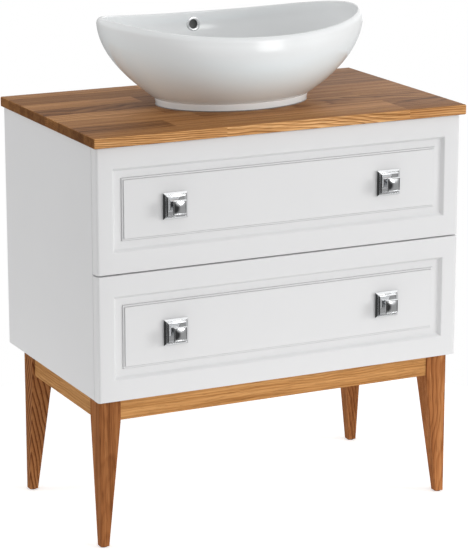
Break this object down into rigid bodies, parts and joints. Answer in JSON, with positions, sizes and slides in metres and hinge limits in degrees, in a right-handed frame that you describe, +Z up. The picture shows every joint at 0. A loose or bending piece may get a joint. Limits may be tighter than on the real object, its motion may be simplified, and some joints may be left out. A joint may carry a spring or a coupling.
{
  "type": "vessel sink on vanity",
  "caption": "Two-drawer white vanity on tapered oak legs, with an oak worktop that carries an oval vessel basin; the drawers slide out on telescopic runners and the waste plug lifts.",
  "frame": {"origin": "on the floor, in the middle of the overall width and depth", "axes": "+Z up, +X to the right of a person who faces the drawers, +Y towards the wall behind"},
  "size_m": [0.8, 0.502, 0.996],
  "materials": {
    "worktop_oak": "oiled",
    "leg_oak": "oiled",
    "beech": "raw",
    "white_lacquer": "satin lacquer on board",
    "white_board": "melamine-faced board",
    "drawer_board": "melamine-faced board",
    "white_glaze": "gloss glaze",
    "chrome": "polished",
    "zinc_steel": "zinc plated",
    "black_rubber": "matt",
    "clear_silicone": "smooth",
    "glide_plastic": "matt",
    "nut_brass": "turned"
  },
  "bodies": {
    "cabinet": {"back_rail_lower": "white_board", "back_rail_upper": "white_board", "base_screws": "zinc_steel", "basin": "white_glaze", "basin_seal": "clear_silicone", "bottom_panel": "white_board", "carcass_dowels": "beech", "corner_blocks": "beech", "drain_backnut": "nut_brass", "drain_body": "chrome", "drain_gaskets": "black_rubber", "drain_tailpiece": "chrome", "foot_glides": "glide_plastic", "leg_bolts": "zinc_steel", "leg_front_left": "leg_oak", "leg_front_right": "leg_oak", "leg_rear_left": "leg_oak", "leg_rear_right": "leg_oak", "lower_slide_cabinet_members": "zinc_steel", "overflow_ring": "chrome", "rail_front": "leg_oak", "rail_left": "leg_oak", "rail_rear": "leg_oak", "rail_right": "leg_oak", "side_panel_left": "white_lacquer", "side_panel_right": "white_lacquer", "stretcher_front": "white_board", "stretcher_rear": "white_board", "upper_slide_cabinet_members": "zinc_steel", "worktop": "worktop_oak", "worktop_screws": "zinc_steel"},
    "upper_drawer": {"upper_drawer_back_left": "drawer_board", "upper_drawer_back_right": "drawer_board", "upper_drawer_base": "drawer_board", "upper_drawer_box_front": "drawer_board", "upper_drawer_front": "white_lacquer", "upper_drawer_recess_front": "drawer_board", "upper_drawer_recess_left": "drawer_board", "upper_drawer_recess_right": "drawer_board", "upper_drawer_side_left": "drawer_board", "upper_drawer_side_right": "drawer_board", "upper_front_screws": "zinc_steel", "upper_knob_heads": "chrome", "upper_knob_plates": "chrome", "upper_knob_screws": "zinc_steel", "upper_slide_drawer_members": "zinc_steel"},
    "lower_drawer": {"lower_drawer_back": "drawer_board", "lower_drawer_base": "drawer_board", "lower_drawer_box_front": "drawer_board", "lower_drawer_front": "white_lacquer", "lower_drawer_side_left": "drawer_board", "lower_drawer_side_right": "drawer_board", "lower_front_screws": "zinc_steel", "lower_knob_heads": "chrome", "lower_knob_plates": "chrome", "lower_knob_screws": "zinc_steel", "lower_slide_drawer_members": "zinc_steel"},
    "upper_slide_middle": {"upper_slide_middle_members": "zinc_steel"},
    "lower_slide_middle": {"lower_slide_middle_members": "zinc_steel"},
    "drain_plug": {"drain_plug": "chrome"}
  },
  "joints": [
    {"name": "upper_drawer_slide", "type": "slide", "parent": "cabinet", "child": "upper_drawer", "axis": [0, -1, 0], "range_m": [0, 0.38]},
    {"name": "upper_middle_slide", "type": "slide", "parent": "cabinet", "child": "upper_slide_middle", "axis": [0, -1, 0], "range_m": [0, 0.19]},
    {"name": "lower_drawer_slide", "type": "slide", "parent": "cabinet", "child": "lower_drawer", "axis": [0, -1, 0], "range_m": [0, 0.38]},
    {"name": "lower_middle_slide", "type": "slide", "parent": "cabinet", "child": "lower_slide_middle", "axis": [0, -1, 0], "range_m": [0, 0.19]},
    {"name": "drain_plug_slide", "type": "slide", "parent": "cabinet", "child": "drain_plug", "axis": [0, 0, 1], "range_m": [0, 0.008]}
  ],
  "couplings": [
    {"joint": "upper_middle_slide", "follows": "upper_drawer_slide", "ratio": 0.5},
    {"joint": "lower_middle_slide", "follows": "lower_drawer_slide", "ratio": 0.5}
  ]
}
